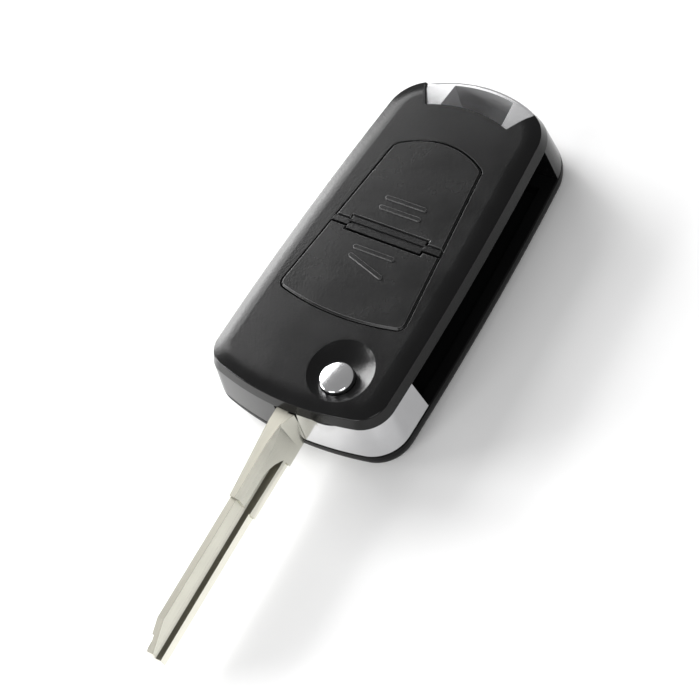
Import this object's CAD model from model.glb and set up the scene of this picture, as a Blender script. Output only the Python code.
import math

import bpy
from mathutils import Matrix, Vector


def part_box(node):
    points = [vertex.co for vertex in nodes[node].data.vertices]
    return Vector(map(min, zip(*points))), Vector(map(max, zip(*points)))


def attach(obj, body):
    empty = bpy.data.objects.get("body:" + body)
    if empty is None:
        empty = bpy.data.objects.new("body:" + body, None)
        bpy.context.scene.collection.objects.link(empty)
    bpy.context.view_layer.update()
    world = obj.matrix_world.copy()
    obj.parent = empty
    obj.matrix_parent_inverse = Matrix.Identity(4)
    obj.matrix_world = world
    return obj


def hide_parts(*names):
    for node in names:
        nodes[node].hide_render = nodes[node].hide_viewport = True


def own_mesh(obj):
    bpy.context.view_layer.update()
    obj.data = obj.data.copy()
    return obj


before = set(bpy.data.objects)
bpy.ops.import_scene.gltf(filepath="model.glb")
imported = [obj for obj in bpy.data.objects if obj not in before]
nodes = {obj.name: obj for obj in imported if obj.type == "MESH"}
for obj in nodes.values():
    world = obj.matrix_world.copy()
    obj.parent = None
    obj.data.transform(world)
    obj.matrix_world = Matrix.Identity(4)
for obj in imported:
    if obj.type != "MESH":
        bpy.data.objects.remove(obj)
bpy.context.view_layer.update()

# Camera, in metres in the frame of the key: the view of the photograph
CAMERA_PLACE = Vector((0.1585, -0.1217, 0.2624))
CAMERA_AIM = Vector((-0.4951, 0.3241, -0.8061))
CAMERA_ROLL = math.radians(-29.2)
CAMERA_LENS = 95.5
SENSOR_WIDTH = 36
NEAREST = 0.01

# Light panels over the left of the key. The face mirrors the stretch of this height between
# x = -0.22, seen in its left edge, and x = -0.14, seen in its right edge.
PANEL_HEIGHT = 0.315
PANEL_FRONT = 0.02
PANEL_BACK = 0.34
PANEL_LEFT = -0.60
PANEL_FAR_EDGE = -0.30
PANEL_NEAR_EDGE = -0.24
PANEL_FAR_RADIANCE = 8.0
PANEL_NEAR_RADIANCE = 6.0
LOOP_PANEL_FRONT = 0.215
LOOP_PANEL_EDGE = -0.185
LOOP_PANEL_RADIANCE = 1.2

# Square softboxes: name, place, the place that it faces, side and radiance
SOFTBOXES = (
    ("rim", (-0.90, 0.20, 0.30), (0, 0, 0.01), 0.50, 12.0),
    ("rim_front", (-0.75, -0.40, 0.30), (0, -0.03, 0.01), 0.35, 20.0),
    ("fill", (0.56, -0.42, 0.85), (0, 0.036, 0), 0.45, 5.0),
    ("front", (-0.10, -0.85, 0.45), (0, 0, 0), 0.40, 6.0),
)
WORLD_LIGHT = 0.28

# Floor, a hair under the flat back of the key
FLOOR_HALF = 1.5
FLOOR_DROP = 0.00002
FLOOR_CLOUD = 0.02

# Black plastics: size of the grain, height of the relief and radii of the edges
FACE_GRAIN = 0.00024
FACE_RELIEF = 0.000015
REAR_RELIEF = 0.000005
BUTTON_GRAIN = 0.00028
BUTTON_RELIEF = 0.000013
CELL_TO_GRAIN = 1.6
CELL_SHARE = 0.6
PLASTIC_CLOUD = 0.006
PLASTIC_FINE_SHARE = 0.6
PLASTIC_IOR = 1.5
PLASTIC_SWING = 0.16
PLASTIC_EDGE = 0.00012
WORN_EDGE = 0.00010
PLAIN_SHARE = 0.016
PLAIN_GRAIN = 0.0004
PLAIN_SWING = 0.1
FINE_RELIEF = 0.00001

# The wall of the front shell is polished up to its shoulder, and the dimple has the face's grain
SHOULDER_LOW = 0.01395
SHOULDER_HIGH = 0.01425
DIMPLE_INSIDE = 0.0066
DIMPLE_OUTSIDE = 0.0074
POLISHED_ROUGHNESS = 0.16
POLISHED_RELIEF = 0.04

# Plated metals
PLATING_CLOUD = 0.004
PLATING_WIPE = 0.0006
PLATING_WAVE = 0.000004
METAL_SWING = 0.08

# The blade: its line leans a little from the Y axis, and its groove is cut into one side
BLADE_LEAN = math.radians(2.18)
BLADE_SIDE = Vector((math.cos(BLADE_LEAN), math.sin(BLADE_LEAN), 0))
BLADE_HEAD_END = -0.060
GROOVE_DEPTHS = (0.0003, 0.0005)
GROOVE_ROUGHER = 0.25
SHEARED_TONE = 0.36
SHEARED_ROUGHER = 0.25
MILLING_PITCH = 0.00025
MILLING_STRETCH = (1, 0.03, 1)
ALLOY_CLOUD = 0.005
ALLOY_SPECK = 0.0003
LINES_SHARE = 0.5
ALLOY_FLOOR = 0.8
ALLOY_EDGE = 0.00008
CORNER_TONE = 0.3

# Shader settings: the turn away from a direction, and the bend of the normal, that masks run over
UP = Vector((0, 0, 1))
FACING_RANGE = (0.5, 0.9)
EDGE_RANGE = (0.90, 0.99)
EDGE_SAMPLES = 6

# The colour sockets of a Mix node, whose names its other sockets share
MIX_FIRST = 6
MIX_SECOND = 7
MIX_RESULT = 2


def set_camera():
    data = bpy.data.cameras.new("camera")
    data.lens = CAMERA_LENS
    data.sensor_width = SENSOR_WIDTH
    data.clip_start = NEAREST
    camera = bpy.data.objects.new("camera", data)
    bpy.context.scene.collection.objects.link(camera)
    turn = CAMERA_AIM.to_track_quat("-Z", "Y").to_matrix().to_4x4()
    roll = Matrix.Rotation(CAMERA_ROLL, 4, "Z")
    camera.matrix_world = Matrix.Translation(CAMERA_PLACE) @ turn @ roll
    bpy.context.scene.camera = camera


def area_light(name, width, length, radiance):
    """A rectangular light whose surface has the radiance given, facing down until it is turned."""
    data = bpy.data.lights.new(name, "AREA")
    data.shape = "RECTANGLE"
    data.size = width
    data.size_y = length
    data.energy = radiance * math.pi * width * length
    light = bpy.data.objects.new(name, data)
    bpy.context.scene.collection.objects.link(light)
    return light


def hang_panel(name, left, right, front, back, radiance):
    """A panel that hangs face down, between two places in X and two in Y."""
    light = area_light(name, right - left, back - front, radiance)
    middle = Vector(((left + right) / 2, (front + back) / 2, PANEL_HEIGHT))
    light.matrix_world = Matrix.Translation(middle)


def add_softbox(name, place, aim, side, radiance):
    light = area_light(name, side, side, radiance)
    place = Vector(place)
    turn = (Vector(aim) - place).to_track_quat("-Z", "Y").to_matrix().to_4x4()
    light.matrix_world = Matrix.Translation(place) @ turn


def light_studio():
    world = bpy.data.worlds.new("studio")
    world.use_nodes = True
    background = world.node_tree.nodes["Background"]
    background.inputs["Color"].default_value = (1, 1, 1, 1)
    background.inputs["Strength"].default_value = WORLD_LIGHT
    bpy.context.scene.world = world
    hang_panel("panel_far", PANEL_LEFT, PANEL_FAR_EDGE, PANEL_FRONT, PANEL_BACK, PANEL_FAR_RADIANCE)
    hang_panel("panel_near", PANEL_FAR_EDGE, PANEL_NEAR_EDGE, PANEL_FRONT, PANEL_BACK, PANEL_NEAR_RADIANCE)
    hang_panel(
        "loop_bright", PANEL_NEAR_EDGE, LOOP_PANEL_EDGE, LOOP_PANEL_FRONT, PANEL_BACK, LOOP_PANEL_RADIANCE
    )
    for name, place, aim, side, radiance in SOFTBOXES:
        add_softbox(name, place, aim, side, radiance)
    bpy.context.scene.view_settings.view_transform = "Standard"


class Shader:
    """A material with its node tree, and short calls for the nodes that it uses."""

    def __init__(self, name):
        self.material = bpy.data.materials.new(name)
        self.material.use_nodes = True
        self.tree = self.material.node_tree
        self.tree.nodes.clear()
        self.surface = self.node("ShaderNodeBsdfPrincipled")
        output = self.node("ShaderNodeOutputMaterial")
        self.join(self.surface.outputs["BSDF"], output.inputs["Surface"])
        self.place = self.node("ShaderNodeTexCoord").outputs["Object"]

    def node(self, kind, **settings):
        made = self.tree.nodes.new(kind)
        for key, value in settings.items():
            setattr(made, key, value)
        return made

    def join(self, source, target):
        self.tree.links.new(source, target)

    def set(self, **values):
        for name, value in values.items():
            self.surface.inputs[name.replace("_", " ")].default_value = value

    def stretched(self, scale, turn):
        """Object coordinates, stretched along an axis, for milled metal."""
        mapping = self.node("ShaderNodeMapping")
        mapping.inputs["Scale"].default_value = scale
        mapping.inputs["Rotation"].default_value = (0, 0, turn)
        self.join(self.place, mapping.inputs["Vector"])
        return mapping.outputs["Vector"]

    def noise(self, size, detail, vector=None):
        texture = self.node("ShaderNodeTexNoise")
        texture.inputs["Scale"].default_value = 1 / size
        texture.inputs["Detail"].default_value = detail
        self.join(vector or self.place, texture.inputs["Vector"])
        return texture.outputs["Fac"]

    def cells(self, size):
        texture = self.node("ShaderNodeTexVoronoi", feature="F1")
        texture.inputs["Scale"].default_value = 1 / size
        self.join(self.place, texture.inputs["Vector"])
        return texture.outputs["Distance"]

    def ramp(self, value, low, high, to_low=0.0, to_high=1.0):
        node = self.node("ShaderNodeMapRange", clamp=True)
        node.inputs["From Min"].default_value = low
        node.inputs["From Max"].default_value = high
        node.inputs["To Min"].default_value = to_low
        node.inputs["To Max"].default_value = to_high
        self.join(value, node.inputs["Value"])
        return node.outputs["Result"]

    def math(self, operation, first, second):
        node = self.node("ShaderNodeMath", operation=operation)
        for socket, value in zip(node.inputs, (first, second)):
            if isinstance(value, (int, float)):
                socket.default_value = value
            else:
                self.join(value, socket)
        return node.outputs["Value"]

    def vector(self, operation, first, second):
        node = self.node("ShaderNodeVectorMath", operation=operation)
        for socket, value in zip(node.inputs, (first, second)):
            if isinstance(value, Vector):
                socket.default_value = value
            else:
                self.join(value, socket)
        return node.outputs["Value"]

    def blend(self, first, share, second):
        """The first value at its share, and the second for the rest."""
        return self.math("ADD", self.math("MULTIPLY", first, share), self.math("MULTIPLY", second, 1 - share))

    def around(self, value, middle, swing):
        """A value from 0 to 1, spread over a swing around a middle."""
        return self.math("ADD", self.math("MULTIPLY", value, swing), middle - swing / 2)

    def height(self):
        node = self.node("ShaderNodeSeparateXYZ")
        self.join(self.place, node.inputs["Vector"])
        return node.outputs["Z"]

    def depth_below(self, normal, place):
        """How far a point lies behind the plane that has this normal and this place along it."""
        return self.math("SUBTRACT", place, self.vector("DOT_PRODUCT", self.place, normal))

    def facing(self, direction):
        """1 where the surface faces this way on the resting piece, and 0 where it faces aside or away."""
        normal = self.node("ShaderNodeTexCoord").outputs["Normal"]
        return self.ramp(self.vector("DOT_PRODUCT", normal, direction), *FACING_RANGE)

    def rounded(self, radius):
        """The normal that the surface would have with its sharp edges rounded."""
        node = self.node("ShaderNodeBevel", samples=EDGE_SAMPLES)
        node.inputs["Radius"].default_value = radius
        return node.outputs["Normal"]

    def edges(self, radius):
        """1 on open surface, and 0 along each sharp edge."""
        plain = self.node("ShaderNodeNewGeometry").outputs["Normal"]
        return self.ramp(self.vector("DOT_PRODUCT", self.rounded(radius), plain), *EDGE_RANGE)

    def colour(self, factor, dark, light):
        node = self.node("ShaderNodeMix", data_type="RGBA")
        node.inputs[MIX_FIRST].default_value = (*dark, 1)
        node.inputs[MIX_SECOND].default_value = (*light, 1)
        self.join(factor, node.inputs["Factor"])
        self.join(node.outputs[MIX_RESULT], self.surface.inputs["Base Color"])

    def bump(self, height, distance, strength=None, edge=None):
        """Relief of the surface; an edge radius, where one is given, rounds sharp edges in the shading."""
        node = self.node("ShaderNodeBump")
        node.inputs["Distance"].default_value = distance
        node.inputs["Strength"].default_value = 1
        if strength:
            self.join(strength, node.inputs["Strength"])
        if edge:
            self.join(self.rounded(edge), node.inputs["Normal"])
        self.join(height, node.inputs["Height"])
        self.join(node.outputs["Normal"], self.surface.inputs["Normal"])

    def rough(self, value):
        self.join(value, self.surface.inputs["Roughness"])


def grey(level, bluer=0.0):
    return (level, level, level + bluer)


def grained_part(shader):
    """1 on the face and in the dimple of the front shell, and 0 on its polished wall."""
    lowest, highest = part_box("release_cap")
    from_cap = shader.vector("DISTANCE", shader.place, (lowest + highest) / 2)
    dimple = shader.ramp(from_cap, DIMPLE_INSIDE, DIMPLE_OUTSIDE, 1, 0)
    return shader.math("MAXIMUM", shader.ramp(shader.height(), SHOULDER_LOW, SHOULDER_HIGH), dimple)


def grainy_plastic(name, dark, light, grain, relief, roughness, gloss, worn=False, polished_wall=False):
    """Spark-eroded black plastic, where asked rubbed bright at its edges or polished on its wall."""
    shader = Shader(name)
    shader.set(IOR=PLASTIC_IOR, Specular_IOR_Level=gloss)
    fine = shader.noise(grain, detail=3)
    cells = shader.cells(grain * CELL_TO_GRAIN)
    height = shader.math("ADD", fine, shader.math("MULTIPLY", cells, CELL_SHARE))
    cloud = shader.noise(PLASTIC_CLOUD, detail=3)
    tone = shader.blend(fine, PLASTIC_FINE_SHARE, cloud)
    if worn:
        rubbed = shader.math("SUBTRACT", 1, shader.edges(WORN_EDGE))
        tone = shader.math("ADD", shader.math("MULTIPLY", tone, PLAIN_SHARE), rubbed)
    shader.colour(tone, dark, light)
    even = shader.around(cloud, roughness, PLASTIC_SWING)
    strength = None
    if polished_wall:
        grained = grained_part(shader)
        rougher = shader.math("SUBTRACT", even, POLISHED_ROUGHNESS)
        even = shader.math("ADD", shader.math("MULTIPLY", grained, rougher), POLISHED_ROUGHNESS)
        strength = shader.ramp(grained, 0, 1, POLISHED_RELIEF, 1)
    shader.rough(even)
    shader.bump(height, relief, strength, PLASTIC_EDGE)
    return shader.material


def plain_plastic(name, dark, light, roughness):
    """Moulded plastic or rubber inside the fob."""
    shader = Shader(name)
    fine = shader.noise(PLAIN_GRAIN, detail=3)
    shader.colour(fine, dark, light)
    shader.rough(shader.around(fine, roughness, PLAIN_SWING))
    shader.bump(fine, FINE_RELIEF)
    return shader.material


def bright_metal(name, dark, light, roughness, upright_rougher=0.0, metallic=1.0):
    """Chrome, satin plating or steel, with faint wipe marks and, where asked, duller upright walls."""
    shader = Shader(name)
    shader.set(Metallic=metallic)
    cloud = shader.noise(PLATING_CLOUD, detail=4)
    shader.colour(cloud, dark, light)
    even = shader.around(shader.noise(PLATING_WIPE, detail=3), roughness, METAL_SWING)
    if upright_rougher:
        upright = shader.math("SUBTRACT", 1, shader.facing(UP))
        even = shader.math("ADD", even, shader.math("MULTIPLY", upright, upright_rougher))
    shader.rough(even)
    shader.bump(cloud, PLATING_WAVE)
    return shader.material


def blade_side_place():
    """Place of the blade's grooved side along its normal, read beyond the head of the blade."""
    points = [vertex.co for vertex in nodes["blade"].data.vertices]
    return max(point.dot(BLADE_SIDE) for point in points if point.y < BLADE_HEAD_END)


def milled_alloy(name, dark, light, roughness):
    """Nickel silver of the blank: milling lines along it, dull sheared faces and dirt in its corners."""
    shader = Shader(name)
    shader.set(Metallic=1.0)
    lines = shader.noise(MILLING_PITCH, detail=3, vector=shader.stretched(MILLING_STRETCH, -BLADE_LEAN))
    cloud = shader.noise(ALLOY_CLOUD, detail=3)
    sheared = shader.facing(UP)
    tone = shader.math("MULTIPLY", shader.blend(lines, LINES_SHARE, cloud), 1 - ALLOY_FLOOR)
    tone = shader.math("ADD", tone, ALLOY_FLOOR)
    clean = shader.ramp(shader.edges(ALLOY_EDGE), 0, 1, CORNER_TONE, 1)
    clean = shader.math("MULTIPLY", clean, shader.ramp(sheared, 0, 1, 1, SHEARED_TONE))
    shader.colour(shader.math("MULTIPLY", tone, clean), dark, light)
    depth = shader.depth_below(BLADE_SIDE, blade_side_place())
    in_groove = shader.ramp(depth, *GROOVE_DEPTHS, 0, GROOVE_ROUGHER)
    duller = shader.math("MAXIMUM", in_groove, shader.math("MULTIPLY", sheared, SHEARED_ROUGHER))
    even = shader.around(shader.noise(ALLOY_SPECK, detail=2), roughness, METAL_SWING)
    shader.rough(shader.math("ADD", even, duller))
    shader.bump(lines, FINE_RELIEF)
    return shader.material


def dress(material, *names):
    for name in names:
        mesh = nodes[name].data
        mesh.materials.clear()
        mesh.materials.append(material)


def dress_shells():
    face = grainy_plastic(
        "shell_face_black", grey(0.003, 0.0001), grey(0.007, 0.0002),
        FACE_GRAIN, FACE_RELIEF, roughness=0.22, gloss=0.27, polished_wall=True,
    )
    rear = grainy_plastic(
        "shell_rear_black", grey(0.003, 0.0001), grey(0.006, 0.0001),
        FACE_GRAIN, REAR_RELIEF, roughness=0.42, gloss=0.10,
    )
    button = grainy_plastic(
        "button_soft_black", grey(0.003, 0.0001), grey(0.300, 0.001),
        BUTTON_GRAIN, BUTTON_RELIEF, roughness=0.26, gloss=0.24, worn=True,
    )
    dress(face, "front_shell")
    dress(rear, "rear_shell", "battery_cover")
    dress(button, "upper_button", "lower_button")


def dress_bright_pieces():
    chrome = bright_metal("chrome", grey(0.82, 0.01), grey(0.90, 0.01), roughness=0.12)
    loop = bright_metal(
        "loop_chrome", grey(0.76, 0.01), grey(0.86, 0.01),
        roughness=0.09, upright_rougher=0.35, metallic=0.82,
    )
    silver = bright_metal("holder_silver", grey(0.62, 0.01), grey(0.70, 0.01), roughness=0.16)
    alloy = milled_alloy("nickel_silver", (0.09, 0.08, 0.06), (0.80, 0.79, 0.70), roughness=0.19)
    dress(chrome, "release_cap")
    dress(loop, "key_ring_loop")
    dress(silver, "blade_holder")
    dress(alloy, "blade")


def dress_inner_pieces():
    steel = bright_metal("spring_steel", grey(0.38, 0.01), grey(0.52, 0.01), roughness=0.26)
    screw = bright_metal("screw_steel", grey(0.30, 0.01), grey(0.46, 0.01), roughness=0.30)
    rubber = plain_plastic("membrane_rubber", grey(0.020, 0.002), grey(0.034, 0.002), roughness=0.7)
    inner = plain_plastic("inner_black", grey(0.012, 0.001), grey(0.022, 0.001), roughness=0.5)
    dress(steel, "flip_spring", "blade_roll_pin", "spring_seat", "thrust_washer")
    dress(screw, "case_screw")
    dress(rubber, "button_membrane", "cover_seal")
    dress(inner, "board_tray", "release_plunger")


def add_flip_spring():
    """The coil again, as a piece that shortens between its seat and the release button."""
    coil = bpy.data.objects.new("flip_spring_coil", nodes["flip_spring"].data.copy())
    bpy.context.scene.collection.objects.link(coil)
    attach(coil, "fob")
    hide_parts("flip_spring")
    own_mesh(coil)


def add_floor():
    mesh = bpy.data.meshes.new("floor")
    corners = [(x * FLOOR_HALF, y * FLOOR_HALF, -FLOOR_DROP) for x, y in ((-1, -1), (1, -1), (1, 1), (-1, 1))]
    mesh.from_pydata(corners, [], [(0, 1, 2, 3)])
    floor = bpy.data.objects.new("floor", mesh)
    bpy.context.scene.collection.objects.link(floor)
    shader = Shader("floor_white")
    shader.set(Roughness=0.9, Specular_IOR_Level=0.1)
    shader.colour(shader.noise(FLOOR_CLOUD, detail=2), grey(0.88), grey(0.91))
    mesh.materials.append(shader.material)


set_camera()
light_studio()
add_floor()
dress_shells()
dress_bright_pieces()
dress_inner_pieces()
add_flip_spring()
